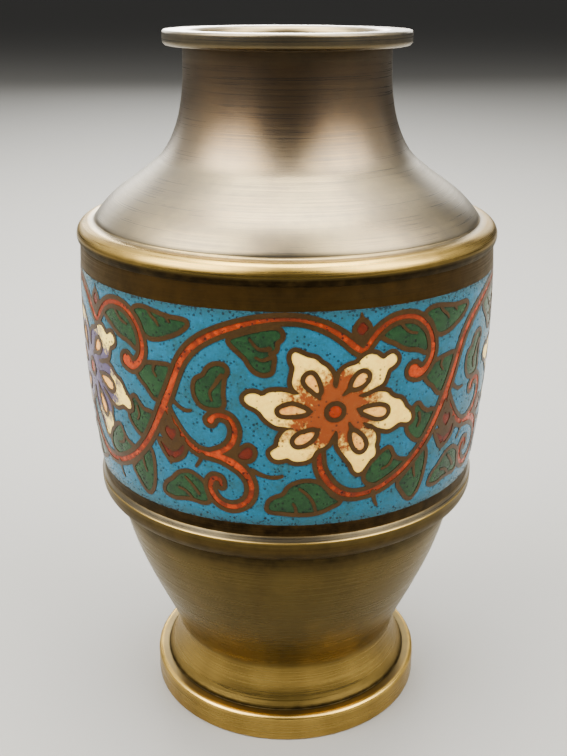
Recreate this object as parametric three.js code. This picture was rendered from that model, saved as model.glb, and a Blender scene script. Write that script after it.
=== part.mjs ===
// Enamel vase: a hollow cast brass baluster, turned all round, with a band of coloured enamel
// let into a shallow groove round its belly.
// Sizes are in millimetres, +Z is up, and the origin is the middle of the foot's underside.

import * as THREE from 'three';

// Foot ring, hollowed underneath
const footHeight = 7.4;
const footLedge = 3.3;          // flat top left outside the body
const footRingWidth = 4.2;      // flat underside that the vase stands on
const footRecess = 4.4;
const footRound = 1.1;

// Lower body, from the foot over the waist to the lower bead
const waistRadius = 31.4;
const waistSpread = 3.1;        // how much wider the body is where it meets the foot
const waistHeight = 10.8;
const flareHeight = 42.5;

// Lower bead, chamfered above, upright in the middle and rounded under
const lowerBeadHeight = 8.4;
const lowerBeadProud = 0.85;
const lowerBeadChamfer = 1.5;
const lowerBeadUpright = 1.4;
const lowerBeadUnder = 3.9;     // how far the flare stops inside the collar

// Belly, a slow upright arc that carries both collars and the enamel
const bellyRadius = 53.1;
const bellyArc = 290;
const bellyCrest = 43;          // height of the widest place above the lower bead
const lowerCollar = 3.25;
const bandHeight = 52.55;
const upperCollar = 5.2;
const enamelDepth = 1.5;
const clearance = 0.3;

// Shoulder bead and the fillet inside it
const shoulderBeadRound = 3.1;
const shoulderBeadProud = 0.75;
const shoulderLedge = 1.6;
const shoulderFillet = 0.74;

// Shoulder and neck
const shoulderHeight = 36.6;
const neckRadius = 25.5;
const neckTop = 3.84;           // straight stretch under the lip

// Lip
const lipHeight = 3.6;
const lipOverhang = 4.75;
const lipRoundUnder = 1.2;
const lipRoundOver = 0.7;
const mouthRound = 2;

// Walls
const wall = 2.2;
const floorThickness = 2.6;
const floorRound = 4;

const facets = 44;

// Heights of the stages, from the foot up
const waistZ = footHeight + waistHeight;
const flareTop = waistZ + flareHeight;
const beadTop = flareTop + lowerBeadHeight;
const bandBottom = beadTop + lowerCollar;
const bandTop = bandBottom + bandHeight;
const collarTop = bandTop + upperCollar;
const beadSide = shoulderBeadRound - shoulderBeadProud;
const shoulderBeadZ = collarTop + Math.sqrt(shoulderBeadRound ** 2 - beadSide ** 2);
const ledgeZ = shoulderBeadZ + shoulderBeadRound;
const shoulderZ = ledgeZ + shoulderFillet;
const neckZ = shoulderZ + shoulderHeight;
const lipZ = neckZ + neckTop;
const rimZ = lipZ + lipHeight;

// Radii that follow from the belly, the waist and the neck
const bellyAt = (z) => bellyRadius - bellyArc + Math.sqrt(bellyArc ** 2 - (z - beadTop - bellyCrest) ** 2);
const flareRadius = bellyAt(beadTop) - lowerBeadUnder;
const shoulderBeadRadius = bellyAt(collarTop) - beadSide;
const shoulderRadius = shoulderBeadRadius - shoulderLedge;
const footRadius = waistRadius + waistSpread + footLedge;
const lipRadius = neckRadius + lipOverhang;
const mouthRadius = neckRadius - wall;

// Outline points have the radius as x and the height as y
const at = (radius, z) => new THREE.Vector2(radius, z);

const quarter = Math.PI / 2;

function arc(radius, z, round, from, to, steps) {
  return new THREE.EllipseCurve(radius, z, round, round, from, to, to < from).getPoints(steps);
}

function upright(radiusAt, from, to, steps) {
  return Array.from({ length: steps + 1 }, (_, i) => {
    const z = from + (to - from) * i / steps;
    return at(radiusAt(z), z);
  });
}

// Points inside a curve that runs up the outside, from its top down
function inside(curve, steps) {
  return Array.from({ length: steps + 1 }, (_, i) => {
    const along = 1 - i / steps;
    const run = curve.getTangent(along);
    return curve.getPoint(along).add(at(-run.y, run.x).multiplyScalar(wall));
  });
}

function joined(...runs) {
  return runs.flat().filter((point, i, all) => i === 0 || point.distanceTo(all[i - 1]) > 0.001);
}

function turned(outline) {
  return new THREE.LatheGeometry(outline, facets).rotateX(quarter);
}

// Flare of the lower body, upright at the waist
const flareReach = flareRadius - waistRadius;
const flare = new THREE.CubicBezierCurve(
  at(waistRadius, waistZ),
  at(waistRadius, waistZ + flareHeight * 0.12),
  at(flareRadius - flareReach * 0.162, waistZ + flareHeight * 0.561),
  at(flareRadius, flareTop),
);

// Shoulder, domed outside and hollow above the turn, and the neck that it runs into
const shoulderReach = shoulderRadius - neckRadius;
const turn = at(shoulderRadius - shoulderReach * 0.7, shoulderZ + shoulderHeight * 0.374);
const dome = new THREE.CubicBezierCurve(
  at(shoulderRadius, shoulderZ),
  at(shoulderRadius - shoulderReach * 0.22, shoulderZ + shoulderHeight * 0.19),
  at(shoulderRadius - shoulderReach * 0.41, shoulderZ + shoulderHeight * 0.211),
  turn,
);
const neck = new THREE.CubicBezierCurve(
  turn,
  at(turn.x - shoulderReach * 0.036, turn.y + shoulderHeight * 0.02),
  at(neckRadius, shoulderZ + shoulderHeight * 0.551),
  at(neckRadius, neckZ),
);

function lowerBead() {
  const beadRadius = bellyAt(beadTop) + lowerBeadProud;
  const edgeZ = beadTop - lowerBeadChamfer;
  const uprightZ = edgeZ - lowerBeadUpright;
  const under = new THREE.CubicBezierCurve(
    at(flareRadius, flareTop),
    at(beadRadius - lowerBeadProud, flareTop + (uprightZ - flareTop) * 0.3),
    at(beadRadius, flareTop + (uprightZ - flareTop) * 0.6),
    at(beadRadius, uprightZ),
  );
  return [...under.getPoints(4), at(beadRadius, edgeZ), at(bellyAt(beadTop), beadTop)];
}

function vaseBody() {
  const grooveAt = (z) => bellyAt(z) - enamelDepth - clearance;
  const foot = joined(
    [at(0, footRecess), at(footRadius - footRingWidth, footRecess)],
    [at(footRadius - footRingWidth, 0), at(footRadius, 0)],
    arc(footRadius - footRound, footHeight - footRound, footRound, 0, quarter, 3),
    [at(waistRadius + waistSpread, footHeight)],
    [at(waistRadius + waistSpread * 0.49, footHeight + waistHeight * 0.3)],
    [at(waistRadius + waistSpread * 0.12, footHeight + waistHeight * 0.65)],
  );
  const beadStart = Math.asin((collarTop - shoulderBeadZ) / shoulderBeadRound);
  const shoulderBead = joined(
    arc(shoulderBeadRadius, shoulderBeadZ, shoulderBeadRound, beadStart, quarter, 6),
    arc(shoulderRadius + shoulderFillet, shoulderZ, shoulderFillet, 3 * quarter, 2 * quarter, 2),
  );
  const lip = joined(
    arc(lipRadius - lipRoundUnder, lipZ + lipRoundUnder, lipRoundUnder, -quarter, 0, 3),
    arc(lipRadius - lipRoundOver, rimZ - lipRoundOver, lipRoundOver, 0, quarter, 2),
    arc(mouthRadius + mouthRound, rimZ - mouthRound, mouthRound, quarter, 2 * quarter, 3),
  );
  const floorZ = footRecess + floorThickness;
  const floorRadius = waistRadius - wall;
  const hollow = joined(
    inside(neck, 5),
    inside(dome, 4),
    upright((z) => grooveAt(z) - wall, bandTop, bandBottom, 4),
    inside(flare, 7),
    arc(floorRadius - floorRound, floorZ + floorRound, floorRound, 0, -quarter, 3),
    [at(0, floorZ)],
  );
  return turned(joined(
    foot,
    flare.getPoints(10),
    lowerBead(),
    [at(bellyAt(bandBottom), bandBottom)],
    upright(grooveAt, bandBottom, bandTop, 6),
    [at(bellyAt(bandTop), bandTop), at(bellyAt(collarTop), collarTop)],
    shoulderBead,
    dome.getPoints(6),
    neck.getPoints(7),
    [at(neckRadius, lipZ)],
    lip,
    hollow,
  ));
}

function enamelBand() {
  const bottom = bandBottom + clearance;
  const top = bandTop - clearance;
  const outer = upright(bellyAt, bottom, top, 6);
  const inner = upright((z) => bellyAt(z) - enamelDepth, top, bottom, 6);
  return turned([...outer, ...inner, outer[0].clone()]);
}

function piece(name, geometry, color, roughness, metalness) {
  const material = new THREE.MeshStandardMaterial({ color, roughness, metalness });
  const mesh = new THREE.Mesh(geometry, material);
  mesh.name = name;
  return mesh;
}

const vase = new THREE.Group();
vase.add(
  piece('vase_body', vaseBody(), 0x7a6c50, 0.42, 1),
  piece('enamel_band', enamelBand(), 0x5fa9c9, 0.3, 0),
);

export default vase;
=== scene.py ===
import math

import bpy
import numpy as np
from mathutils import Matrix, Vector
from mathutils.geometry import delaunay_2d_cdt


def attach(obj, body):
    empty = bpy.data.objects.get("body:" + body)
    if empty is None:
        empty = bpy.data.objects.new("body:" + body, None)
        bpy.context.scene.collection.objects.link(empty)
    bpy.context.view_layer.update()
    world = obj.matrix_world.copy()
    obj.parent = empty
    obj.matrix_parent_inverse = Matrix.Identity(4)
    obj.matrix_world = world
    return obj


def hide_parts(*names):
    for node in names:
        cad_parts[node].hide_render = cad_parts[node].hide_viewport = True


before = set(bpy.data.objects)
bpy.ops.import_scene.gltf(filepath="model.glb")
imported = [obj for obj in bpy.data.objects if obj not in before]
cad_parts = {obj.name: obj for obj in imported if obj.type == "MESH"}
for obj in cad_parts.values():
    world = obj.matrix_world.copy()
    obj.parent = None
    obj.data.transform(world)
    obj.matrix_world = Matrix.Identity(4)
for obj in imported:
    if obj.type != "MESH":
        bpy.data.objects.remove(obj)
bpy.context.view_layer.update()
mm = 0.001

# Sizes are in millimetres, apart from the studio's, and colours are on the 0 to 255 scale of a screen


def tint(red, green, blue):
    screen = (red / 255, green / 255, blue / 255)
    return tuple(c / 12.92 if c < 0.04045 else ((c + 0.055) / 1.055) ** 2.4 for c in screen) + (1.0,)


# Meshes

def newPiece(name, points, faces, sharpAngle=35):
    mesh = bpy.data.meshes.new(name)
    mesh.from_pydata((np.asarray(points, float) * mm).tolist(), [], faces)
    mesh.polygons.foreach_set("use_smooth", np.ones(len(mesh.polygons), dtype=bool))
    mesh.set_sharp_from_angle(angle=math.radians(sharpAngle))
    mesh.update()
    piece = bpy.data.objects.new(name, mesh)
    bpy.context.scene.collection.objects.link(piece)
    return piece


def paintPoints(piece, name, values):
    layer = piece.data.attributes.new(name, "FLOAT", "POINT")
    layer.data.foreach_set("value", np.asarray(values, dtype=np.float32))


def bezier(points, steps):
    p = np.array(points, float)
    t = np.linspace(0, 1, steps + 1)[:, None]
    return (1 - t) ** 3 * p[0] + 3 * (1 - t) ** 2 * t * p[1] + 3 * (1 - t) * t * t * p[2] + t ** 3 * p[3]


def arc(radius, z, size, start, end, steps):
    angle = np.radians(np.linspace(start, end, steps + 1))
    return np.column_stack([radius + size * np.cos(angle), z + size * np.sin(angle)])


def straight(start, end, steps):
    return np.linspace(start, end, steps + 1)


# Shader nodes: maths on values is written as plain expressions

class Value:
    def __init__(self, finish, socket):
        self.finish = finish
        self.socket = socket

    def maths(self, operation, *values):
        return self.finish.node("Math", {"operation": operation}, dict(enumerate(values)))

    def __add__(self, other):
        return self.maths("ADD", self, other)

    def __radd__(self, other):
        return self.maths("ADD", other, self)

    def __sub__(self, other):
        return self.maths("SUBTRACT", self, other)

    def __rsub__(self, other):
        return self.maths("SUBTRACT", other, self)

    def __mul__(self, other):
        return self.maths("MULTIPLY", self, other)

    def __truediv__(self, other):
        return self.maths("DIVIDE", self, other)

    def clamp(self):
        return self.finish.node("Clamp", values={0: self})


class Finish:
    def __init__(self, name):
        self.material = bpy.data.materials.new(name)
        self.material.use_nodes = True
        self.tree = self.material.node_tree
        self.shader = self.tree.nodes["Principled BSDF"]
        self.place = self.node("TexCoord", out="Object")

    def node(self, kind, settings=None, values=None, out=0):
        made = self.tree.nodes.new("ShaderNode" + kind)
        for name, value in (settings or {}).items():
            setattr(made, name, value)
        for name, value in (values or {}).items():
            self.feed(made.inputs[name], value)
        return Value(self, made.outputs[out])

    def feed(self, socket, value):
        if isinstance(value, Value):
            self.tree.links.new(value.socket, socket)
        else:
            socket.default_value = value

    def set(self, **values):
        sockets = {socket.name.replace(" ", ""): socket for socket in self.shader.inputs}
        for name, value in values.items():
            self.feed(sockets[name], value)

    def mix(self, factor, first, second):
        return self.node("Mix", {"data_type": "RGBA"}, {0: factor, 6: first, 7: second}, 2)

    def painted(self, name):
        return self.node("Attribute", {"attribute_name": name}, out="Fac")

    # The place on the object, scaled so that size becomes 1
    def scaled(self, size, offset, stretch=(1, 1, 1)):
        scale = tuple(s / (size * mm) for s in stretch)
        return self.node("VectorMath", {"operation": "MULTIPLY_ADD"},
                         {0: self.place, 1: scale, 2: (offset,) * 3})

    # Noise about its middle, from -1 to 1
    def grain(self, size, detail, roughness, stretch=(1, 1, 1), offset=0.0):
        spot = self.scaled(size, offset, stretch)
        noise = self.node("TexNoise", values={"Vector": spot, "Scale": 1.0, "Detail": detail,
                                              "Roughness": roughness})
        return noise * 3.2 - 1.6

    # Round specks about as wide as size, more of them as amount rises towards 1
    def specks(self, spacing, size, amount, softness=0.12, offset=0.0):
        spot = self.scaled(spacing, offset)
        cells = self.node("TexVoronoi", values={"Vector": spot, "Scale": 1.0})
        chance = Value(self, cells.socket.node.outputs["Color"])
        lot = self.node("SeparateColor", values={0: chance})
        reach = (lot + amount - 1) / amount * (size / spacing)
        return ((reach - cells) / softness).clamp()

    def height(self):
        return self.node("SeparateXYZ", values={0: self.place}, out="Z") * (1 / mm)

    # From 0 where value is at start to 1 where it is at end
    def rise(self, value, start, end):
        return ((value - start) / (end - start)).clamp()

    def bump(self, height, distance, strength):
        return self.node("Bump", values={"Height": height, "Distance": distance * mm, "Strength": strength})


# The turned body: heights and radii repeat the CAD source, with finer edges
vase = {
    "footHeight": 7.4, "footLedge": 3.3, "footRing": 4.2, "footRecess": 4.4, "footRound": 1.1,
    "waist": 31.4, "waistSpread": 3.1, "waistHeight": 10.8, "flareHeight": 42.5,
    "lowerBead": 8.4, "lowerProud": 0.85, "chamfer": 1.5, "upright": 1.4, "under": 3.9,
    "belly": 53.1, "bellyArc": 290, "bellyCrest": 43,
    "lowerCollar": 3.25, "band": 52.55, "upperCollar": 5.2,
    "bead": 3.1, "beadProud": 0.75, "ledge": 1.6, "fillet": 0.74,
    "shoulder": 36.6, "neck": 25.5, "neckTop": 3.84,
    "lip": 3.6, "overhang": 4.75, "roundUnder": 1.2, "roundOver": 0.7, "mouthRound": 2.0,
    "wall": 2.2, "floor": 2.6, "floorRound": 4, "groove": 1.5, "ringRound": 0.8, "hem": 0.5, "crease": 0.3,
    "trim": 0.012, "facets": 240,
}

waistZ = vase["footHeight"] + vase["waistHeight"]
flareZ = waistZ + vase["flareHeight"]
beadZ = flareZ + vase["lowerBead"]
bandLow = beadZ + vase["lowerCollar"]
bandHigh = bandLow + vase["band"]
collarZ = bandHigh + vase["upperCollar"]
beadSide = vase["bead"] - vase["beadProud"]
roundZ = collarZ + math.sqrt(vase["bead"] ** 2 - beadSide ** 2)
ledgeZ = roundZ + vase["bead"]
shoulderZ = ledgeZ + vase["fillet"]
neckZ = shoulderZ + vase["shoulder"]
lipZ = neckZ + vase["neckTop"]
rimZ = lipZ + vase["lip"]


def bellyAt(z):
    rise = z - beadZ - vase["bellyCrest"]
    return vase["belly"] - vase["bellyArc"] + np.sqrt(vase["bellyArc"] ** 2 - rise ** 2)


# Each run of the outline has its points, and then how golden, how grey and how darkened the brass is there;
# the darkening is partly dirt and partly painted shade
def bodyOutline():
    flareR = bellyAt(beadZ) - vase["under"]
    roundR = bellyAt(collarZ) - beadSide
    shoulderR = roundR - vase["ledge"]
    footR = vase["waist"] + vase["waistSpread"] + vase["footLedge"]
    creaseR = footR - vase["footLedge"]
    ringR = footR - vase["footRing"]
    lipR = vase["neck"] + vase["overhang"]
    mouthR = vase["neck"] - vase["wall"]
    wall = vase["wall"]
    reach = flareR - vase["waist"]
    flare = bezier([(vase["waist"], waistZ), (vase["waist"], waistZ + vase["flareHeight"] * 0.12),
                    (flareR - reach * 0.162, waistZ + vase["flareHeight"] * 0.561), (flareR, flareZ)], 34)
    apron = bezier([(creaseR, vase["footHeight"] + 0.5), (creaseR - 1.3, vase["footHeight"] + 2.5),
                    (vase["waist"], waistZ - 4.7), (vase["waist"], waistZ)], 14)
    reach = shoulderR - vase["neck"]
    rise = vase["shoulder"]
    turnR, turnZ = shoulderR - reach * 0.7, shoulderZ + rise * 0.374
    dome = bezier([(shoulderR, shoulderZ), (shoulderR - reach * 0.22, shoulderZ + rise * 0.19),
                   (shoulderR - reach * 0.41, shoulderZ + rise * 0.211), (turnR, turnZ)], 26)
    neck = bezier([(turnR, turnZ), (turnR - reach * 0.036, turnZ + rise * 0.02),
                   (vase["neck"], shoulderZ + rise * 0.551), (vase["neck"], neckZ)], 26)
    beadR = bellyAt(beadZ) + vase["lowerProud"]
    edgeZ = beadZ - vase["chamfer"]
    uprightZ = edgeZ - vase["upright"]
    under = bezier([(flareR, flareZ), (beadR - vase["lowerProud"], flareZ + (uprightZ - flareZ) * 0.3),
                    (beadR, flareZ + (uprightZ - flareZ) * 0.6), (beadR, uprightZ)], 12)
    grooveZ = np.linspace(bandLow, bandHigh, 15)
    grooveR = bellyAt(grooveZ) - vase["groove"]
    collarLow = np.linspace(beadZ, bandLow, 5)
    collarHigh = np.linspace(bandHigh, collarZ, 7)
    floorZ = vase["footRecess"] + vase["floor"]
    floorRound = vase["floorRound"]
    floorR = vase["waist"] - wall - floorRound
    beadStart = math.degrees(math.asin((collarZ - roundZ) / vase["bead"]))

    def inside(curve):
        run = np.gradient(curve, axis=0)
        run /= np.linalg.norm(run, axis=1)[:, None]
        return (curve + np.column_stack([-run[:, 1], run[:, 0]]) * wall)[::-1][::3]

    foot, recess, footRound = vase["footHeight"], vase["footRecess"], vase["footRound"]
    roundUnder, roundOver, mouthRound = vase["roundUnder"], vase["roundOver"], vase["mouthRound"]
    ringRound, hem, crease, bead = vase["ringRound"], vase["hem"], vase["crease"], vase["bead"]
    # The third value paints shade under the beads and the lip, in the creases, under the foot and inside
    # the vase, on top of some dirt
    return [
        (straight((0, recess), (ringR - ringRound, recess), 8), 0.2, 0.2, 0.7),
        (arc(ringR - ringRound, recess - ringRound, ringRound, 90, 0, 4), 0.3, 0.2, 0.6),
        (straight((ringR, 0.4), (ringR + 0.4, 0), 2), 0.6, 0.0, 0.1),
        (straight((ringR + hem, 0), (footR - hem, 0), 3), 0.9, 0.0, 0.0),
        (arc(footR - hem, hem, hem, -90, 0, 4), 0.95, 0.0, 0.1),
        (straight((footR, 0.8), (footR, foot - footRound), 8), 0.85, 0.0, 0.0),
        (arc(footR - footRound, foot - footRound, footRound, 5, 90, 8), 1.0, 0.0, 0.0),
        (straight((footR - footRound - 0.2, foot), (creaseR + 0.4, foot), 4), 0.6, 0.4, 0.25),
        (arc(creaseR + crease, foot + crease, crease, 270, 190, 3), 0.4, 0.2, 0.9),
        (apron, 0.72, 0.0, np.clip(1.0 - np.linspace(0, 3, 15), 0, 1) ** 1.5),
        (flare[1:], np.linspace(0.56, 0.44, 34), 0.0, np.clip(np.linspace(-9, 1, 34), 0, 0.8)),
        (under, 0.3, 0.0, np.linspace(0.9, 0.4, 13)),
        (straight((beadR, uprightZ + 0.2), (beadR, edgeZ - 0.3), 3), 0.45, 0.0, 0.3),
        (arc(beadR - 0.25, edgeZ - 0.15, 0.25, 0, 55, 4), 0.8, 0.2, 0.0),
        (straight((beadR - 0.22, edgeZ + 0.25), (bellyAt(beadZ) + 0.1, beadZ - 0.12), 3), 0.4, 1.0, 0.0),
        (np.column_stack([bellyAt(collarLow), collarLow]), 0.05, 0.0, 0.85),
        (np.column_stack([grooveR, grooveZ]), 0.1, 0.0, 0.6),
        (np.column_stack([bellyAt(collarHigh), collarHigh]), 0.05, 0.2, 0.5),
        # The upper bead's underside is painted dark: painted shade
        (arc(roundR, roundZ, bead, beadStart, -6, 8), 0.2, 0.0, 0.95),
        (arc(roundR, roundZ, bead, 2, 40, 10) - (vase["trim"], 0), 0.75, 0.0, 0.0),
        (arc(roundR, roundZ, bead, 45, 88, 10), 0.8, 0.2, 0.0),
        (arc(shoulderR + vase["fillet"], shoulderZ, vase["fillet"], 270, 180, 6), 0.6, 0.9, 0.0),
        (dome, 0.0, 1.0, 0.0),
        (neck[1:], 0.0, np.linspace(1.0, 0.1, 26) ** 1.5, 0.0),
        (straight((vase["neck"], neckZ + 0.6), (vase["neck"], lipZ - 0.5), 5), 0.05, 0.3, 0.1),
        (arc(vase["neck"] + crease, lipZ - crease, crease, 180, 90, 3), 0.1, 0.2, 0.6),
        (straight((vase["neck"] + 0.7, lipZ), (lipR - roundUnder - 0.3, lipZ), 4), 0.3, 0.2, 0.3),
        (arc(lipR - roundUnder, lipZ + roundUnder, roundUnder, -90, 0, 8), 0.5, 0.3, 0.0),
        (arc(lipR - roundOver, rimZ - roundOver, roundOver, 0, 90, 7), 0.5, 0.5, 0.0),
        (arc(mouthR + mouthRound, rimZ - mouthRound, mouthRound, 90, 180, 9), 0.6, 0.5, 0.0),
        (straight((mouthR, rimZ - 4), (mouthR, lipZ - 3), 3), 0.15, 0.4, 0.3),
        (inside(neck), 0.1, 0.3, 0.6),
        (inside(dome)[1:], 0.1, 0.2, 0.7),
        (np.column_stack([grooveR - wall, grooveZ])[::-1], 0.1, 0.0, 0.7),
        (inside(flare), 0.1, 0.0, 0.7),
        (arc(floorR, floorZ + floorRound, floorRound, 0, -90, 6), 0.1, 0.0, 0.8),
        (straight((floorR - 1.2, floorZ), (0, floorZ), 6), 0.1, 0.0, 0.8),
    ]


# A closed turned solid, whose first and last points lie on the axis
def turned(name, runs, facets):
    points = np.vstack([run[0] for run in runs])
    marks = np.vstack([np.column_stack([np.broadcast_to(mark, len(run)) for mark in shown])
                       for run, *shown in runs])
    keep = np.ones(len(points), dtype=bool)
    keep[1:] = np.linalg.norm(np.diff(points, axis=0), axis=1) > 0.02
    points, marks = points[keep], marks[keep]
    angle = np.linspace(0, 2 * math.pi, facets, endpoint=False)
    rings = points[1:-1]
    solid = np.stack([np.outer(rings[:, 0], np.sin(angle)), -np.outer(rings[:, 0], np.cos(angle)),
                      np.outer(rings[:, 1], np.ones(facets))], axis=2).reshape(-1, 3)
    count = len(rings)
    low, high = count * facets, count * facets + 1
    solid = np.vstack([solid, [(0, 0, points[0, 1]), (0, 0, points[-1, 1])]])
    step = np.arange(facets)
    after = (step + 1) % facets
    faces = []
    for ring in range(count - 1):
        base, above = ring * facets, (ring + 1) * facets
        faces += np.column_stack([base + step, base + after, above + after, above + step]).tolist()
    last = (count - 1) * facets
    faces += [(low, a, b) for a, b in zip(after.tolist(), step.tolist())]
    faces += [(high, last + a, last + b) for a, b in zip(step.tolist(), after.tolist())]
    piece = newPiece(name, solid, faces)
    for column, label in enumerate(("gold", "grey", "grimeAndShade")):
        smooth = np.convolve(np.pad(marks[:, column], 1, mode="edge"), (0.25, 0.5, 0.25), mode="valid")
        paintPoints(piece, label, np.concatenate([np.repeat(smooth[1:-1], facets), smooth[[0, -1]]]))
    return piece


# The enamel band is one pattern, laid five times round the belly. Its points are degrees round
# from the front and heights; stems also give half their width.
band = {
    "hearts": ("red", "violet", "red", "violet", "red"), "degree": 0.925, "period": 76.7, "middle": 12.0,
    "frontSpan": 115.05, "easing": 0.18, "line": 1.1, "ringLine": (0.95, 0.3), "lineLift": 0.07,
    "enamelDrop": 0.05, "enamelDish": 0.07, "dishReach": 0.6, "depth": 1.3,
    "step": 0.12, "far": 9.0, "margin": 2.6, "outlineStep": 0.34, "edgeStep": 0.6, "fillStep": 1.25,
    "fillGap": 0.42, "fillShift": 0.12, "seed": 7,
}

vine = [
    [(8.1, 91.6, 0.5), (8.4, 88, 0.65), (9.6, 85.3, 0.7), (11.4, 82.9, 0.7), (13.8, 80.9, 0.7),
     (16.6, 79.8, 0.7), (20, 79.6, 0.65), (24, 80.3, 0.65), (28, 81.9, 0.65), (31.5, 83.9, 0.65),
     (34.8, 86.5, 0.65), (37.8, 89.5, 0.7), (40.4, 93, 0.75), (42.6, 96.6, 0.8), (44.6, 100.2, 0.9),
     (46.6, 104, 0.85), (48.4, 108, 0.75), (50.1, 111.5, 0.75), (52.5, 114.7, 0.75),
     (55.8, 117.4, 0.75), (59.6, 119.4, 0.7), (64, 121.1, 0.65), (69, 122.5, 0.55), (74, 123.2, 0.45),
     (79, 123.2, 0.42), (83, 122.4, 0.45), (87, 120.8, 0.55), (90.5, 118.6, 0.65), (93.2, 116.4, 0.7),
     (95.2, 115.2, 0.6)],
    [(18.6, 115.3, 0.5), (20.2, 117.3, 0.6), (22, 119.3, 0.6), (24.4, 120.9, 0.55), (27.2, 121.8, 0.55),
     (30.2, 121.9, 0.55), (33, 121.3, 0.55), (35.4, 119.8, 0.55), (37.3, 117.7, 0.55),
     (38.4, 115.2, 0.65), (38.7, 112.6, 0.7), (37.9, 110.3, 0.75), (36.3, 108.6, 0.85),
     (34.4, 108, 1.15), (32.7, 108.8, 1.6)],
    [(-31.9, 101, 0.6), (-30.2, 98, 0.6), (-28.6, 95.7, 0.6), (-26.8, 93.5, 0.6), (-24.6, 91.6, 0.6),
     (-22, 90.3, 0.6), (-19, 90, 0.65), (-16, 89.6, 0.85), (-13.2, 88.4, 1), (-11, 86.8, 0.85),
     (-9.4, 84.6, 0.7), (-8.8, 82, 0.65), (-9.6, 79.3, 0.65), (-11.6, 77.5, 0.65), (-14.4, 76.7, 0.7),
     (-17.2, 77.4, 0.65), (-19.2, 79.3, 0.65), (-19.9, 81.8, 0.65), (-18.9, 83.8, 0.65),
     (-17.2, 83.7, 0.55), (-16.8, 82.3, 0.4)],
    [(-19, 90.3, 0.5), (-16.4, 91.2, 0.65), (-14.2, 92.7, 0.7), (-12.9, 94.9, 0.7), (-12.7, 97.4, 0.65),
     (-13.9, 99.5, 0.6), (-16.2, 100.3, 0.6), (-18, 99.7, 0.65), (-18.8, 98.7, 0.85)],
]
leaves = [
    [(-20.5, 102.2), (-22.2, 104), (-22.6, 106), (-22, 108), (-20, 109.2), (-18.8, 111), (-17, 112),
     (-15.2, 111.9), (-14.6, 111), (-15.2, 109.8), (-15.6, 108), (-15.8, 105.5), (-15.7, 103),
     (-17, 102)],
    [(-13.2, 118.2), (-10.5, 119.3), (-7, 120.3), (-3.5, 120.9), (-1.8, 120.6), (-1.4, 119.3),
     (-2.6, 118.2), (-2.8, 116.6), (-4.4, 115.6), (-3.4, 114.6), (-3.6, 112.8), (-3.9, 111.5),
     (-5.5, 111.1), (-7.3, 111.7), (-8.5, 113), (-9.3, 114.3), (-11, 115.8), (-12.4, 117)],
    [(36.3, 121.5), (38, 122.3), (40.5, 122.3), (43.5, 121.8), (47, 121.3), (52, 121), (50, 119),
     (46.5, 117.4), (44, 116.6), (41.5, 116.3), (39.8, 117), (39, 118.5), (38, 120)],
    [(23.5, 118.6), (25, 119.7), (27.5, 120.6), (30, 121), (32.5, 120.3), (34.5, 119), (36, 117.5),
     (36.8, 115.8), (36.8, 114), (36.2, 113), (35, 113.6), (33, 114.3), (31, 114.6), (29, 115.4),
     (27, 116.6), (25, 117.5)],
    [(36.8, 106.8), (38, 108), (39.2, 109), (41, 109.5), (43.5, 109.8), (46, 110), (46.8, 109.8),
     (46.5, 108.5), (45.7, 106.8), (45, 105), (44.3, 103), (43.5, 101.9), (42, 101.8), (40.8, 102.8),
     (39.5, 104.2), (38, 105.2)],
    [(33.8, 99.2), (34.8, 99.9), (36, 98.6), (38, 97.3), (40, 97.2), (40.6, 96.5), (39.5, 94.5),
     (38, 92.7), (36.5, 91.2), (35, 91.5), (33.2, 93), (32.2, 94.5), (32.5, 96), (33.8, 97)],
    [(21, 85.5), (22.5, 87.8), (24, 88.9), (25.5, 90), (26.8, 90.2), (27.6, 88.8), (28.5, 87.6),
     (30, 86.6), (32.3, 86), (33, 85.3), (31, 84.3), (28.5, 83), (26, 82.2), (23.5, 82), (21.5, 82.6),
     (20.6, 84)],
    [(31.2, 80.5), (33, 82.3), (35, 84), (37, 86), (38.5, 87.3), (39, 86.5), (39.2, 84.5), (39, 82),
     (38.8, 80.5), (38.3, 78.5), (37.5, 76.8), (36, 75.3), (34.5, 75.9), (33, 77.6), (31.8, 79.1)],
    [(-34, 77.3), (-33, 79.5), (-31, 81), (-29.5, 82.5), (-28, 83.5), (-25.5, 84), (-23.5, 83.2),
     (-22, 82), (-21.5, 80.5), (-21.2, 79), (-21, 77.5), (-22.5, 77), (-25, 77.3), (-28, 77.2),
     (-31, 76.6)],
    [(-4.5, 77), (-4, 78.8), (-2.5, 79.8), (-1, 80.3), (0, 81.2), (0.8, 82.5), (2.2, 83.4), (4.5, 84),
     (7, 83.8), (9, 82.8), (10.3, 81.3), (11.3, 80), (13, 78.8), (13.5, 78.2), (11.5, 77.3), (9, 76.3),
     (6, 75.8), (2, 75.9), (-1, 76.2), (-3.5, 76.4)],
]
buds = [
    [(45, 95), (46, 95.6), (47.5, 95), (48, 93.8), (47.3, 92.5), (46.5, 91.7), (45.4, 92.6),
     (44.7, 93.8)],
    [(42.7, 90.8), (43.8, 90.2), (45.3, 89.3), (46.5, 88.9), (48, 89.5), (49.3, 90.8), (50, 91.3),
     (50, 90), (49.2, 88.6), (47.8, 87.6), (46.2, 86.9), (45.3, 87), (44.4, 88), (43.5, 89.4)],
    [(-9.8, 92.9), (-8.6, 92.6), (-8.2, 91.4), (-8.9, 90.1), (-10.3, 89.7), (-11.6, 89.9), (-12, 90.8)],
    [(16.6, 120.4), (18, 122), (19.5, 120.6), (18.9, 119.6), (18, 118.9), (17.1, 119.5)],
]
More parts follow.
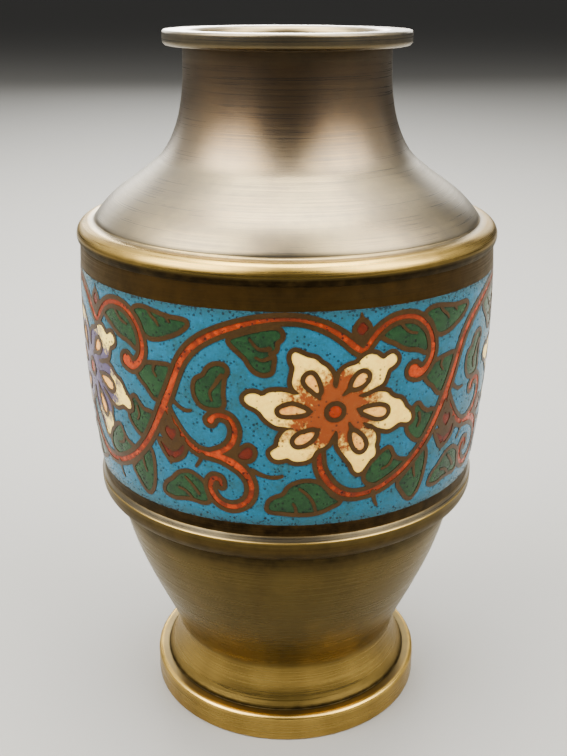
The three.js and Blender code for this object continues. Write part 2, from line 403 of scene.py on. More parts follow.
flower = [
    (1.2, 115.2), (2, 116), (3.5, 115.4), (5, 114.8), (6.8, 114.3), (8, 113.2), (9.3, 112.4),
    (10.5, 111), (11.2, 109.5), (11, 108.2), (11.9, 107.2), (12.4, 108.5), (12.8, 110.5), (13.8, 111.6),
    (15.3, 112.2), (17, 112.6), (18.3, 113.8), (20, 114.5), (21.8, 114.2), (23, 113.3), (24, 113),
    (25, 113.6), (26.3, 113.9), (27.4, 113), (27.5, 111.9), (26.5, 111), (25.2, 110.4), (24.6, 109),
    (23.8, 107.3), (22, 106.5), (20, 105.8), (17.5, 105), (19.5, 104.5), (21.5, 105.2), (23.5, 105.3),
    (25.2, 104.8), (26.2, 103.8), (27.5, 103), (29, 102.5), (30, 101.5), (30.8, 100.2), (32, 99.2),
    (32.8, 98.2), (32.9, 96.8), (31.8, 96.2), (30.3, 96.5), (29, 96.6), (27.5, 95.9), (26, 95.5),
    (24.3, 96), (22.8, 96.6), (21.5, 97.5), (19, 98.3), (20, 96.8), (21.5, 96.3), (22.6, 95),
    (22.9, 93.5), (22.6, 92), (23, 90.5), (22.8, 89.3), (21.5, 88.3), (20.5, 87), (19.6, 85.8),
    (18.3, 85.5), (17.2, 86.5), (16.8, 87.5), (16, 88.7), (14.8, 90.2), (13.8, 91.5), (12.9, 93),
    (12.7, 94.5), (12.6, 96), (12.2, 97), (11.5, 96), (10.9, 95), (10.2, 93.8), (9, 93), (7.8, 92.7),
    (7, 92), (6.3, 90.7), (5, 89.9), (3.5, 89.6), (1.8, 89.7), (0.3, 90.5), (-1, 90.2), (-2.5, 90.1),
    (-3.6, 90.9), (-3.9, 92), (-2.8, 92.9), (-2, 93.5), (-1.8, 95), (-1, 96.5), (0, 97.5), (1, 97.8),
    (1.8, 97.9), (-1, 98.4), (-2.5, 98.6), (-4, 99.5), (-5.3, 100.6), (-6.2, 101.8), (-7.4, 102.7),
    (-9, 103.4), (-10, 104.3), (-10, 105.3), (-9, 106.1), (-7.5, 106.3), (-5.7, 105.8), (-4.2, 106.6),
    (-2, 106.9), (0, 106.7), (1.8, 106.2), (3, 106.4), (1.8, 107.6), (1.3, 109), (1.6, 110.8),
    (1.9, 112.5), (1.3, 113.8),
]
flowerHeart = (11.8, 101.6, 1.5)

# Each drop has its outline, and then the point towards the heart where its line ends
drops = [
    ([(4.4, 109.5), (5, 110.5), (5.9, 110.7), (6.6, 110), (7.2, 108.8), (7.7, 107), (7.3, 106.4),
     (6.3, 107.2), (5, 108.3)], (8, 104.9)),
    ([(16, 107.2), (16.3, 108.5), (17.3, 109.8), (18.5, 110.3), (19.5, 109.8), (19.6, 108.8),
     (18.7, 107.8), (17.4, 107.2)], (13.7, 105.5)),
    ([(18.8, 101.2), (21, 101.7), (23.5, 101.6), (25, 100.9), (25.2, 99.8), (24.2, 99.1), (22.5, 99.2),
     (20.8, 100)], (17.4, 101.8)),
    ([(16.5, 96.2), (17.8, 95.4), (19, 94.2), (19.7, 92.7), (19.2, 91.5), (18.3, 91.4), (17.3, 92.3),
     (16.6, 93.8), (16.3, 95.2)], (15.5, 98.5)),
    ([(2, 95), (3.3, 96.3), (5, 96.8), (6.7, 97), (6.6, 96), (5.5, 94.8), (4, 94),
     (2.5, 93.9)], (8, 97.6)),
    ([(-1.7, 102.3), (-0.7, 103), (1.2, 103.5), (3, 103), (4.8, 102), (3, 101.5), (0.5, 101.3),
     (-1.2, 101.5)], (6.1, 102)),
]

# Bare brass only: tendrils, thorns, wedges between stems and the veins in the leaves
strokes = [
    [(-8.4, 86.9, 0.7), (-6.5, 86.1, 0.55), (-4.5, 85.5, 0.5), (-2.7, 85.4, 0.5), (-1, 85.8, 0.42)],
    [(-21.6, 89.6, 0.6), (-22.3, 87.9, 0.5), (-23.5, 86.3, 0.38)],
    [(-29, 102, 0.6), (-27, 100.7, 0.5), (-25.4, 100.2, 0.48), (-24, 100.4, 0.36)],
    [(23.2, 79.6, 0.6), (23.9, 77, 0.5), (24.7, 75.6, 0.34)],
    [(46.2, 99.2, 0.35), (46.6, 97, 0.7), (46.6, 95.6, 0.9)],
    [(43.2, 93.4, 0.6), (44.6, 91.6, 0.6), (46.4, 90.6, 0.8), (48.4, 91.6, 0.6), (50, 92.8, 0.6)],
    [(18, 116.6, 0.25), (18.1, 117.6, 0.5), (18, 118.4, 0.6)],
    [(17.9, 122.6, 0.6), (17.8, 124, 0.2)],
    [(45.9, 86.8, 0.7), (45.4, 85.4, 0.25)],
    [(-16.7, 108.3, 0.5), (-17.7, 107, 0.38), (-18.6, 105.8, 0.34), (-18.6, 104.6, 0.3),
     (-18.2, 103.6, 0.25)],
    [(-15.6, 109.9, 0.5), (-16.7, 108.5, 0.55)],
    [(-8.6, 118.6, 0.3), (-7.2, 117, 0.36), (-6, 116.4, 0.42), (-4, 116.6, 0.6)],
    [(-7.3, 114.6, 0.28), (-5.8, 114, 0.36), (-3.8, 114.6, 0.5)],
    [(40.7, 122.8, 0.4), (41.8, 121.4, 0.38), (43.4, 120.3, 0.36), (44.2, 119.3, 0.28)],
    [(46.4, 121.7, 0.4), (47.4, 120.6, 0.3)],
    [(28.2, 120.8, 0.4), (29.4, 119.4, 0.34), (31, 118.2, 0.34), (33.2, 117.6, 0.28)],
    [(42.6, 109.9, 0.4), (42, 108.4, 0.36), (42.9, 107, 0.28)],
    [(35.4, 97.8, 0.4), (35.9, 96, 0.36), (35.2, 94.5, 0.3)],
    [(28.2, 87.9, 0.4), (27.2, 86.2, 0.36), (25.2, 85.4, 0.3)],
    [(35.4, 84.4, 0.4), (35.7, 82.4, 0.36), (36.3, 80.9, 0.3)],
    [(-27, 82.7, 0.3), (-25, 80.9, 0.38), (-23.4, 78.9, 0.42)],
    [(-29.5, 79.4, 0.28), (-27.4, 78.9, 0.36), (-25.6, 77.4, 0.4)],
    [(3.4, 82.4, 0.3), (5.5, 80.6, 0.38), (6.9, 78.6, 0.4), (7.6, 76.4, 0.42)],
    [(1.8, 78.4, 0.3), (2.4, 77.2, 0.36), (2.6, 75.9, 0.4)],
]


# A smooth curve through points, each of which may carry more values than its place
def curved(points, closed, steps=5):
    p = np.array(points, float)
    p[:, 0] *= band["degree"]
    ends = (p[-1:], p[:2]) if closed else (2 * p[:1] - p[1:2], 2 * p[-1:] - p[-2:-1])
    p = np.vstack([ends[0], p, ends[1]])
    t = np.linspace(0, 1, steps, endpoint=False)[:, None, None]
    a, b, c, d = p[:-3], p[1:-2], p[2:-1], p[3:]
    curve = 0.5 * (2 * b + (c - a) * t + (2 * a - 5 * b + 4 * c - d) * t ** 2
                   + (3 * b - a - 3 * c + d) * t ** 3)
    curve = curve.transpose(1, 0, 2).reshape(-1, p.shape[1])
    return curve if closed else np.vstack([curve, p[-2:-1]])


# How far each spot lies from a stem with its own half widths; below 0 inside it
def stemDistance(x, z, stem):
    nearest = np.full(x.shape, band["far"])
    for (ax, az, ar), (bx, bz, br) in zip(stem[:-1], stem[1:]):
        run = (bx - ax) ** 2 + (bz - az) ** 2
        along = np.clip(((x - ax) * (bx - ax) + (z - az) * (bz - az)) / max(run, 1e-9), 0, 1)
        gap = np.hypot(x - ax - along * (bx - ax), z - az - along * (bz - az)) - ar - along * (br - ar)
        np.minimum(nearest, gap, out=nearest)
    return nearest


def outlineDistance(x, z, outline):
    nearest = np.full(x.shape, band["far"])
    within = np.zeros(x.shape, dtype=bool)
    for (ax, az), (bx, bz) in zip(outline, np.roll(outline, -1, axis=0)):
        run = (bx - ax) ** 2 + (bz - az) ** 2
        along = np.clip(((x - ax) * (bx - ax) + (z - az) * (bz - az)) / max(run, 1e-9), 0, 1)
        np.minimum(nearest, np.hypot(x - ax - along * (bx - ax), z - az - along * (bz - az)), out=nearest)
        if az != bz:
            crosses = ((az > z) != (bz > z)) & (x < ax + (z - az) * (bx - ax) / (bz - az))
            within ^= crosses
    return np.where(within, -nearest, nearest)


# One repeat of the pattern as a grid of distances; its right side meets its left side
class Pattern:
    def __init__(self):
        self.width = band["period"] * band["degree"]
        self.left = band["middle"] * band["degree"] - self.width / 2
        self.columns = round(self.width / band["step"])
        self.rows = round(vase["band"] / band["step"])
        self.x = self.left + np.arange(self.columns) * self.width / self.columns
        self.z = np.linspace(bandLow, bandHigh, self.rows + 1)
        self.fills = self.draw()

    def blank(self):
        return np.full((self.rows + 1, self.columns), band["far"])

    def stamp(self, field, shape, distance):
        for shift in (-self.width, 0, self.width):
            moved = shape.copy()
            moved[:, 0] += shift
            low = moved[:, :2].min(axis=0) - band["margin"]
            high = moved[:, :2].max(axis=0) + band["margin"]
            columns = np.flatnonzero((self.x > low[0]) & (self.x < high[0]))
            rows = np.flatnonzero((self.z > low[1]) & (self.z < high[1]))
            if len(columns) and len(rows):
                spot = np.ix_(rows, columns)
                x, z = np.meshgrid(self.x[columns], self.z[rows])
                field[spot] = np.minimum(field[spot], distance(x, z, moved))

    def draw(self):
        shapes = {name: self.blank() for name in ("leaf", "vine", "bud", "petal", "drop", "heart")}
        bare = self.blank()
        rings = self.blank()
        for outline in leaves:
            self.stamp(shapes["leaf"], curved(outline, True), outlineDistance)
        for stem in vine:
            self.stamp(shapes["vine"], curved(stem, False), stemDistance)
        for outline in buds:
            self.stamp(shapes["bud"], curved(outline, True), outlineDistance)
        self.stamp(shapes["petal"], curved(flower, True, 3), outlineDistance)
        for outline, tip in drops:
            drop = curved(outline, True)
            self.stamp(shapes["drop"], drop, outlineDistance)
            wide, narrow = band["ringLine"]
            end = np.array([tip[0] * band["degree"], tip[1], narrow])
            nearest = drop[np.argmin(np.hypot(*(drop - end[:2]).T))]
            start = np.array([*(nearest * 0.8 + drop.mean(axis=0) * 0.2), wide])
            self.stamp(rings, np.array([start, end]), stemDistance)
        x, z, size = flowerHeart
        self.stamp(shapes["heart"], np.array([(x * band["degree"], z, size)] * 2), stemDistance)
        for stroke in strokes:
            self.stamp(bare, curved(stroke, False), stemDistance)
        line = band["line"]
        rings = np.minimum(rings, shapes["drop"] - line)
        over = {"leaf": ("vine", "bud", "petal"), "vine": ("bud", "petal"), "bud": ("petal",),
                "petal": ("heart",)}
        fills = {}
        for name, field in shapes.items():
            fills[name] = np.maximum(field, -bare)
            for other in over.get(name, ()):
                fills[name] = np.maximum(fills[name], line - shapes[other])
        fills["petal"] = np.maximum(fills["petal"], -rings)
        fills["ground"] = -bare
        for name in ("leaf", "vine", "bud", "petal"):
            fills["ground"] = np.maximum(fills["ground"], line - shapes[name])
        return fills

    # A field read between its grid points
    def read(self, field, x, z):
        column = (np.asarray(x) - self.left) / self.width * self.columns
        row = (np.asarray(z) - bandLow) / vase["band"] * self.rows
        c = np.floor(column).astype(int)
        r = np.clip(np.floor(row).astype(int), 0, self.rows - 1)
        u, v = column - c, row - r
        c, after = c % self.columns, (c + 1) % self.columns
        low = field[r, c] * (1 - u) + field[r, after] * u
        high = field[r + 1, c] * (1 - u) + field[r + 1, after] * u
        return low * (1 - v) + high * v

    # The lines where field is 0, as runs of points
    def contours(self, field):
        grid = np.hstack([field, field[:, :1]])
        grid = np.where(np.abs(grid) < 1e-6, 1e-6, grid)
        inside = grid < 0
        stepX, stepZ = self.width / self.columns, vase["band"] / self.rows
        spots = {}

        def across(r, c):
            part = grid[r, c] / (grid[r, c] - grid[r, c + 1])
            spots[(r, c, 0)] = (self.left + (c + part) * stepX, bandLow + r * stepZ)

        def upward(r, c):
            part = grid[r, c] / (grid[r, c] - grid[r + 1, c])
            spots[(r, c, 1)] = (self.left + c * stepX, bandLow + (r + part) * stepZ)

        for r, c in zip(*np.nonzero(inside[:, 1:] != inside[:, :-1])):
            across(int(r), int(c))
        for r, c in zip(*np.nonzero(inside[1:] != inside[:-1])):
            upward(int(r), int(c))
        links = {}
        mixed = inside[:-1, :-1].astype(int) + inside[:-1, 1:] + inside[1:, :-1] + inside[1:, 1:]
        for r, c in zip(*np.nonzero((mixed > 0) & (mixed < 4))):
            r, c = int(r), int(c)
            sides = [(r, c, 0), (r, c + 1, 1), (r + 1, c, 0), (r, c, 1)]
            met = [side for side in sides if side in spots]
            if len(met) == 4:
                apart = inside[r, c] == inside[r + 1, c + 1] and not inside[r, c]
                pairs = [(met[i], met[j]) for i, j in (((0, 1), (2, 3)) if apart else ((0, 3), (1, 2)))]
            else:
                pairs = [tuple(met)]
            for first, second in pairs:
                links.setdefault(first, []).append(second)
                links.setdefault(second, []).append(first)
        runs = []
        used = set()
        ends = sorted(spot for spot, near in links.items() if len(near) == 1)
        for start in ends + sorted(links):
            if start in used:
                continue
            run = [start]
            used.add(start)
            while True:
                onward = [spot for spot in links[run[-1]] if spot not in used]
                if not onward:
                    break
                run.append(onward[0])
                used.add(onward[0])
            closed = len(links[start]) == 2
            runs.append((np.array([spots[spot] for spot in run]), closed))
        return runs


# A run of points spaced evenly along itself
def evenly(run, closed, spacing):
    if closed:
        run = np.vstack([run, run[:1]])
    length = np.concatenate([[0], np.cumsum(np.hypot(*np.diff(run, axis=0).T))])
    count = max(int(round(length[-1] / spacing)), 6 if closed else 1)
    along = np.linspace(0, length[-1], count + 1)
    made = np.column_stack([np.interp(along, length, run[:, i]) for i in (0, 1)])
    return made[:-1] if closed else made


# The whole repeat cut into triangles along the pattern's lines
def cutPattern(pattern):
    nearest = np.min([*pattern.fills.values()], axis=0)
    points, edges = [], []
    sides = {"left": [], "right": [], "low": [], "high": []}
    right = pattern.left + pattern.width
    for run, closed in pattern.contours(nearest):
        made = evenly(run, closed, band["outlineStep"])
        first = len(points)
        points += made.tolist()
        count = len(made)
        edges += [(first + i, first + i + 1) for i in range(count - 1)]
        if closed:
            edges.append((first + count - 1, first))
            continue
        for end in (first, first + count - 1):
            x, z = points[end]
            gaps = {"left": abs(x - pattern.left), "right": abs(x - right), "low": abs(z - bandLow),
                    "high": abs(z - bandHigh)}
            sides[min(gaps, key=gaps.get)].append(end)
    for index in sides["left"]:
        points[index][0] = pattern.left
    for index, twin in zip(sorted(sides["right"], key=lambda i: points[i][1]),
                           sorted(sides["left"], key=lambda i: points[i][1])):
        points[index] = [right, points[twin][1]]
    corners = {}
    for x in (pattern.left, right):
        for z in (bandLow, bandHigh):
            corners[(x, z)] = len(points)
            points.append([x, z])

    def border(side, start, end, axis):
        chain = sorted([*sides[side], corners[start], corners[end]], key=lambda i: points[i][axis])
        for first, second in zip(chain[:-1], chain[1:]):
            gap = points[second][axis] - points[first][axis]
            count = max(1, round(gap / band["edgeStep"]))
            last = first
            for i in range(1, count):
                spot = list(points[first])
                spot[axis] += gap * i / count
                points.append(spot)
                edges.append((last, len(points) - 1))
                last = len(points) - 1
            edges.append((last, second))

    border("left", (pattern.left, bandLow), (pattern.left, bandHigh), 1)
    border("right", (right, bandLow), (right, bandHigh), 1)
    border("low", (pattern.left, bandLow), (right, bandLow), 0)
    border("high", (pattern.left, bandHigh), (right, bandHigh), 0)
    step, shift = band["fillStep"], band["fillShift"]
    chance = np.random.default_rng(band["seed"])
    rows = int(vase["band"] / (step * 0.866))
    columns = int(pattern.width / step)
    for r in range(1, rows):
        for c in range(columns):
            place = c + 0.5 + 0.5 * (r % 2) + chance.uniform(-shift, shift)
            x = pattern.left + place * pattern.width / columns
            z = bandLow + (r + chance.uniform(-shift, shift)) * vase["band"] / rows
            if pattern.left + 0.5 < x < right - 0.5 and abs(pattern.read(nearest, x, z)) > band["fillGap"]:
                points.append([x, z])
    made = delaunay_2d_cdt([Vector(p) for p in points], edges, [], 0, 1e-5)
    spots = np.array([tuple(p) for p in made[0]])
    triangles = np.array(made[2])
    middle = spots[triangles].mean(axis=1)
    names = ["metal", *pattern.fills]
    values = [np.zeros(len(middle))] + [pattern.read(field, *middle.T) for field in pattern.fills.values()]
    kinds = np.array(names, dtype=object)[np.argmin(values, axis=0)]
    edge = np.minimum(pattern.read(-np.abs(nearest), *spots.T), 0)
    return spots, triangles, kinds, -edge


# Pattern degrees, counted from the middle of the front repeat, to degrees round the vase.
# The three repeats in front are as wide as they were laid, and the two behind share what is left.
def roundVase(degrees):
    front = band["frontSpan"]
    whole = 5 * band["period"]
    behind = (np.abs(degrees) - front) / (whole - 2 * front)
    eased = behind + band["easing"] * behind * (1 - behind) * (1 - 2 * behind)
    beyond = front + eased * (360 - 2 * front)
    return band["middle"] + np.sign(degrees) * np.where(np.abs(degrees) > front, beyond, np.abs(degrees))


def ontoBelly(x, z, lift):
    angle = np.radians(roundVase(x / band["degree"] - band["middle"]))
    radius = bellyAt(z) + lift
    return np.column_stack([radius * np.sin(angle), -radius * np.cos(angle), z])


# The five repeats as one set of points, joined where they meet, and their triangles by kind
def layBand():
    pattern = Pattern()
    spots, triangles, kinds, edge = cutPattern(pattern)
    count = len(spots)
    left = np.flatnonzero(np.abs(spots[:, 0] - pattern.left) < 1e-4)
    right = np.flatnonzero(np.abs(spots[:, 0] - pattern.left - pattern.width) < 1e-4)
    left = left[np.argsort(spots[left, 1])]
    right = right[np.argsort(spots[right, 1])]
    after = np.arange(count)
    after[right] = left
    allSpots, allEdges, allTriangles, allKinds, allReach = [], [], [], [], []
    heartX, heartZ = flowerHeart[0] * band["degree"], flowerHeart[1]
    for repeat in range(5):
        allSpots.append(spots + (pattern.width * (repeat - 2), 0))
        allEdges.append(edge)
        allReach.append(np.hypot(spots[:, 0] - heartX, spots[:, 1] - heartZ))
        ids = repeat * count + np.arange(count)
        ids[right] = ((repeat + 1) % 5) * count + left
        allTriangles.append(ids[triangles])
        names = kinds.copy()
        names[kinds == "petal"] = band["hearts"][repeat] + "Petal"
        allKinds.append(names)
    return (np.vstack(allSpots), np.vstack(allTriangles), np.concatenate(allKinds),
            np.concatenate(allEdges), np.concatenate(allReach))


# A closed slab under the chosen triangles, from lift above the belly down to depth
def slab(name, laid, kinds, lift, dish, material):
    spots, triangles, allKinds, edge, reach = laid
    chosen = triangles[np.isin(allKinds.astype(str), kinds)]
    used, local = np.unique(chosen, return_inverse=True)
    local = local.reshape(-1, 3)
    count = len(used)
    x, z = spots[used].T
    away = np.minimum(edge[used] / band["dishReach"], 1)
    top = ontoBelly(x, z, lift + dish * away)
    bottom = ontoBelly(x, z, np.full(count, -band["depth"]))
    sides = np.vstack([local[:, (0, 1)], local[:, (1, 2)], local[:, (2, 0)]])
    codes = sides[:, 0] * count + sides[:, 1]
    outer = sides[~np.isin(codes, sides[:, 1] * count + sides[:, 0])]
    walls = np.column_stack([outer[:, 0], outer[:, 0] + count, outer[:, 1] + count, outer[:, 1]])
    faces = local.tolist() + (local[:, ::-1] + count).tolist() + walls.tolist()
    piece = newPiece(name, np.vstack([top, bottom]), faces, 50)
    paintPoints(piece, "fromLine", np.tile(edge[used], 2))
    paintPoints(piece, "fromHeart", np.tile(reach[used], 2))
    piece.data.materials.append(material)
    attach(piece, "root")
    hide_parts("enamel_band")
    return piece


# Brass with a brown patina, rubbed bright where it is handled, waxed grey on the shoulder, and darkened by
# dirt and by painted shade in its hollows and undersides.
# Grains are (size, detail, roughness); dots and pits are (spacing, size, amount).
brass = {
    "brown": tint(84, 62, 30), "grey": tint(110, 95, 58), "olive": tint(87, 73, 38),
    # The darkest brown is for dirt and for painted shade
    "bare": tint(184, 150, 74), "dirt": tint(14, 9, 5), "shade": tint(44, 32, 16),
    "rimTint": (0.95, 0.9, 0.8, 1),
    "cloud": (14, 4, 0.6), "patches": (3.2, 4, 0.65), "lines": (0.5, 3, 0.6), "fineLines": (0.16, 2, 0.5),
    "wedges": (11, 2, 0.5), "roundwards": (0.012, 0.012, 1.6), "upwards": (1, 1, 0.1),
    "dots": (2.6, 0.22, 0.3), "pits": (4.5, 0.3, 0.22), "roughDark": 0.33, "roughBare": 0.28,
    "brushed": 0.2, "neckCoat": 0.6, "coatRough": 0.36, "relief": (0.015, 0.5),
}


def makeBrass():
    finish = Finish("agedBrass")
    gold, grey, grimeAndShade = (finish.painted(name) for name in ("gold", "grey", "grimeAndShade"))
    cloud = finish.grain(*brass["cloud"])
    patches = finish.grain(*brass["patches"], offset=3.1)
    lines = finish.grain(*brass["lines"], stretch=brass["roundwards"])
    fineLines = finish.grain(*brass["fineLines"], stretch=brass["roundwards"], offset=5.0)
    wedges = finish.grain(*brass["wedges"], stretch=brass["upwards"], offset=9.0)
    upper = finish.rise(finish.height(), shoulderZ - 0.5, shoulderZ + 0.5)
    waxed = (grey - 0.2 + (cloud * 0.3 + lines * 0.3) * grey).clamp()
    bare = (gold + cloud * 0.08 + patches * 0.07 + lines * 0.06).clamp()
    colour = finish.mix(waxed, brass["brown"], brass["grey"])
    colour = finish.mix((bare * 2).clamp(), colour, brass["olive"])
    colour = finish.mix((bare * 2 - 1).clamp(), colour, brass["bare"])
    shade = (0.14 + wedges * 0.3 + lines * 0.4 + patches * 0.2 + cloud * 0.12).clamp()
    colour = finish.mix(shade, colour, brass["shade"])
    # Darkening from the outline's third value and from specks: dirt, and painted shade under the beads and
    # lip, in creases and inside
    dirt = (grimeAndShade + patches * 0.35 * grimeAndShade + finish.specks(*brass["dots"]) * 0.6).clamp()
    colour = finish.mix(dirt * 0.9, colour, brass["dirt"])
    rough = brass["roughDark"] + bare * (brass["roughBare"] - brass["roughDark"])
    rough = rough + dirt * 0.25 + lines * 0.14 + cloud * 0.04
    relief = lines * 0.6 + fineLines * 0.4 + patches * 0.2 - finish.specks(*brass["pits"], offset=2.0) * 2
    coat = ((upper * brass["neckCoat"] + waxed) * (1 - dirt)).clamp()
    finish.set(BaseColor=colour, Roughness=rough, Metallic=1.0, Anisotropic=brass["brushed"],
               SpecularTint=brass["rimTint"], CoatWeight=coat, CoatRoughness=brass["coatRough"],
               Normal=finish.bump(relief, *brass["relief"]))
    return finish.material


# The cast lines between the enamels, flat and dull
lineBrass = {
    "dark": tint(50, 33, 10), "light": tint(74, 50, 18), "cloud": (5, 3, 0.6), "worn": (0.7, 3, 0.6),
    "rough": 0.42, "metal": 0.7, "relief": (0.03, 0.5),
}


def makeLineBrass():
    finish = Finish("lineBrass")
    cloud = finish.grain(*lineBrass["cloud"])
    worn = finish.grain(*lineBrass["worn"], offset=1.0)
    colour = finish.mix((0.5 + cloud * 0.35 + worn * 0.3).clamp(), lineBrass["dark"], lineBrass["light"])
    finish.set(BaseColor=colour, Roughness=lineBrass["rough"] + worn * 0.08, Metallic=lineBrass["metal"],
               Normal=finish.bump(worn, *lineBrass["relief"]))
    return finish.material


# Opaque enamel: cloudy body colours, dark pits, bleeding hearts, wear along the band's edges, and darkening
# beside the metal lines that is partly painted shade.
# wornLow and wornHigh are how far the wear reaches in from the edges.
glaze = {
    "cloud": (6, 4, 0.6), "mottle": (0.9, 3, 0.7), "blotches": (3.4, 3, 0.6), "fine": (0.8, 0.4),
    "holes": (2.4, 0.5), "worn": tint(38, 52, 44), "wornLow": 2.8, "wornHigh": 2.6, "rim": 0.4,
    "crumbs": (1.15, 1.45), "rough": 0.24, "gloss": 0.16, "relief": (0.03, 0.6),
}


def makeEnamel(name, light, dark, pit, pits, edge=0.25, veil=None):
    finish = Finish(name)
    cloud = finish.grain(*glaze["cloud"])
    mottle = finish.grain(*glaze["mottle"], offset=4.0)
    colour = finish.mix((0.45 + cloud * 0.35 + mottle * 0.35).clamp(), dark, light)
    if veil is not None:
        bleed, amount = veil
        blotches = finish.grain(*glaze["blotches"], offset=12.0)
        near = 1 - finish.rise(finish.painted("fromHeart") + blotches * 5 + mottle * 2.6, *amount)
        colour = finish.mix(near * 0.95, colour, bleed)
    height = finish.height()
    inner = finish.rise(height, bandLow, bandLow + glaze["wornLow"])
    inner = inner * finish.rise(height, bandHigh, bandHigh - glaze["wornHigh"])
    worn = ((1 - inner) * (0.8 + mottle * 0.6 + cloud * 0.5)).clamp()
    colour = finish.mix(worn * 0.6, colour, glaze["worn"])
    fine = finish.specks(*glaze["fine"], worn * 0.5 + (pits + 0.1))
    holes = finish.specks(*glaze["holes"], worn * 0.4 + pits * 0.5, offset=7.0)
    # Darker beside the metal lines: partly the enamel's own colour, partly painted shade, which on the
    # vines and buds leaves a painted highlight down their middles
    rim = 1 - finish.rise(finish.painted("fromLine"), 0, glaze["rim"])
    crumbs = finish.rise(mottle + worn * 1.4, *glaze["crumbs"])
    black = (fine * 0.8 + holes + rim * edge + crumbs * 0.8).clamp()
    colour = finish.mix(black * 0.92, colour, pit)
    relief = mottle * 0.4 + cloud * 0.6 - fine * 2 - holes * 3
    rough = (glaze["rough"] + black * 0.35 + mottle * 0.06).clamp()
    finish.set(BaseColor=colour, Roughness=rough, Metallic=0.0, SpecularIORLevel=glaze["gloss"],
               Normal=finish.bump(relief, *glaze["relief"]))
    return finish.material


# Each veil is a colour that bleeds out of the heart, and the distances between which it fades
enamels = {
    "ground": dict(light=tint(10, 94, 126), dark=tint(30, 62, 60), pit=tint(8, 14, 14), pits=0.75),
    "leaf": dict(light=tint(34, 68, 34), dark=tint(10, 26, 16), pit=tint(5, 8, 5), pits=0.65),
    # edge sets the darkening beside the lines; on the vine and bud it is painted shade around a painted
    # highlight
    "vine": dict(light=tint(180, 60, 5), dark=tint(84, 28, 4), pit=tint(28, 12, 8), pits=0.35, edge=0.6),
    "bud": dict(light=tint(92, 26, 6), dark=tint(60, 18, 6), pit=tint(22, 8, 4), pits=0.2, edge=0.5),
    "redPetal": dict(light=tint(255, 224, 104), dark=tint(232, 176, 70), pit=tint(50, 28, 12), pits=0.2,
                     veil=(tint(104, 20, 0), (8.0, 12.0))),
    "violetPetal": dict(light=tint(255, 230, 116), dark=tint(236, 196, 96), pit=tint(44, 32, 26), pits=0.2,
                        veil=(tint(16, 8, 78), (12.0, 15.5))),
    "drop": dict(light=tint(246, 196, 92), dark=tint(200, 108, 34), pit=tint(50, 20, 10), pits=0.25,
                 veil=(tint(130, 48, 10), (3.0, 7.5))),
    "heart": dict(light=tint(146, 44, 4), dark=tint(104, 30, 4), pit=tint(36, 12, 6), pits=0.2),
}


def makeBand():
    laid = layBand()
    lines = slab("band_lines", laid, ["metal"], band["lineLift"], 0.0, makeLineBrass())
    print("band lines", len(lines.data.polygons), "faces")
    for kind, colours in enamels.items():
        name = "enamel_" + "".join("_" + c.lower() if c.isupper() else c for c in kind)
        enamel = makeEnamel(name, **colours)
        piece = slab(name, laid, [kind], -band["enamelDrop"], band["enamelDish"], enamel)
        print(name, len(piece.data.polygons), "faces")


body = turned("vase_turned_body", bodyOutline(), vase["facets"])
body.data.materials.append(makeBrass())
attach(body, "root")
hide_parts("vase_body")
print("turned body", len(body.data.polygons), "faces")
makeBand()


# Floor, lights and camera, in metres; air is how bright the room is
studio = {
    "floor": tint(114, 112, 107), "floorHalf": 40, "floorRough": 0.75, "air": 0.12,
    # name: (place, aim, size, power, spread, colour)
    "lamps": {
        "above": ((0.0, 0.35, 1.15), (0.0, 0.35, 0.0), (0.9, 0.9), 22, 100, (1, 1, 0.98)),
        "ceiling": ((-0.3, 0.4, 1.4), (-0.3, 0.4, 0.0), (2.8, 2.2), 40, 180, (1, 1, 0.98)),
        "behind": ((-0.4, 2.4, 0.9), (-0.1, 0.0, 0.5), (4.4, 1.0), 23, 90, (1, 1, 0.97)),
        "window": ((-0.22, 2.3, 0.9), (-0.1, 0.0, 0.5), (0.7, 0.9), 7, 90, (1, 1, 0.97)),
        "leftWall": ((-2.2, 0.4, 1.1), (0.0, 0.0, 0.1), (2.0, 1.6), 15, 180, (1, 1, 0.97)),
        "rightWall": ((2.2, 0.4, 1.1), (0.0, 0.0, 0.1), (2.0, 1.6), 11, 180, (1, 1, 0.97)),
        "left": ((-0.94, -0.5, 1.15), (0.0, 0.0, 0.09), (1.4, 1.4), 22.5, 70, (1, 0.99, 0.97)),
        "right": ((0.94, -0.5, 1.15), (0.0, 0.0, 0.09), (1.4, 1.4), 18.5, 70, (1, 0.99, 0.97)),
    },
}


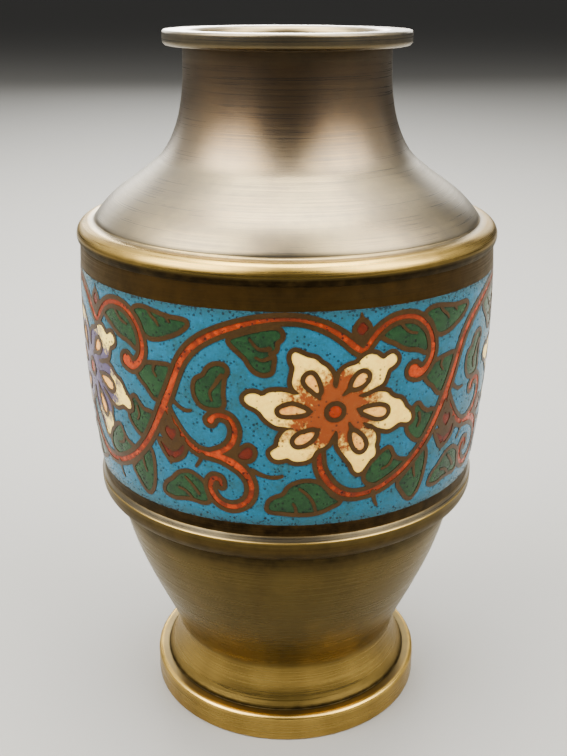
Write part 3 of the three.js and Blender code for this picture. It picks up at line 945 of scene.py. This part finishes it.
def makeFloor():
    mesh = bpy.data.meshes.new("floor")
    half = studio["floorHalf"]
    corners = [(-half, -half, 0), (half, -half, 0), (half, half, 0), (-half, half, 0)]
    mesh.from_pydata(corners, [], [(0, 1, 2, 3)])
    floor = bpy.data.objects.new("floor", mesh)
    bpy.context.scene.collection.objects.link(floor)
    finish = Finish("paleFloor")
    finish.set(BaseColor=studio["floor"], Roughness=studio["floorRough"], Metallic=0.0)
    mesh.materials.append(finish.material)


def makeLamps():
    for name, (place, aim, size, power, spread, colour) in studio["lamps"].items():
        lamp = bpy.data.lights.new(name, "AREA")
        lamp.shape = "RECTANGLE"
        lamp.size, lamp.size_y = size
        lamp.energy = power
        lamp.spread = math.radians(spread)
        lamp.color = colour
        holder = bpy.data.objects.new(name, lamp)
        holder.location = place
        holder.visible_camera = False
        holder.rotation_euler = (Vector(aim) - Vector(place)).to_track_quat("-Z", "Y").to_euler()
        bpy.context.scene.collection.objects.link(holder)
    world = bpy.data.worlds.new("studio")
    world.use_nodes = True
    world.node_tree.nodes["Background"].inputs["Color"].default_value = (1, 1, 1, 1)
    world.node_tree.nodes["Background"].inputs["Strength"].default_value = studio["air"]
    bpy.context.scene.world = world


# The photograph's viewpoint, in millimetres and degrees; focus and frame are in its pixels
view = {
    "away": 260.46, "height": 188.80, "down": 20.788, "turn": -0.178, "roll": 0.096,
    "focus": 1022.6, "frame": 756, "sensor": 36,
}


def makeCamera():
    camera = bpy.data.cameras.new("camera")
    camera.sensor_width = view["sensor"]
    camera.lens = view["focus"] / view["frame"] * view["sensor"]
    camera.clip_start = 0.01
    holder = bpy.data.objects.new("camera", camera)
    down, turn, roll = (math.radians(view[name]) for name in ("down", "turn", "roll"))
    ahead = Vector((math.sin(turn) * math.cos(down), math.cos(turn) * math.cos(down), -math.sin(down)))
    right = Vector((math.cos(turn), -math.sin(turn), 0))
    upward = right.cross(ahead)
    right, upward = (right * math.cos(roll) + upward * math.sin(roll),
                     upward * math.cos(roll) - right * math.sin(roll))
    facing = Matrix((right, upward, -ahead)).transposed()
    holder.matrix_world = Matrix.Translation((0, -view["away"] * mm, view["height"] * mm)) @ facing.to_4x4()
    bpy.context.scene.collection.objects.link(holder)
    bpy.context.scene.camera = holder


makeFloor()
makeLamps()
makeCamera()
print("studio", len(studio["lamps"]), "lamps")
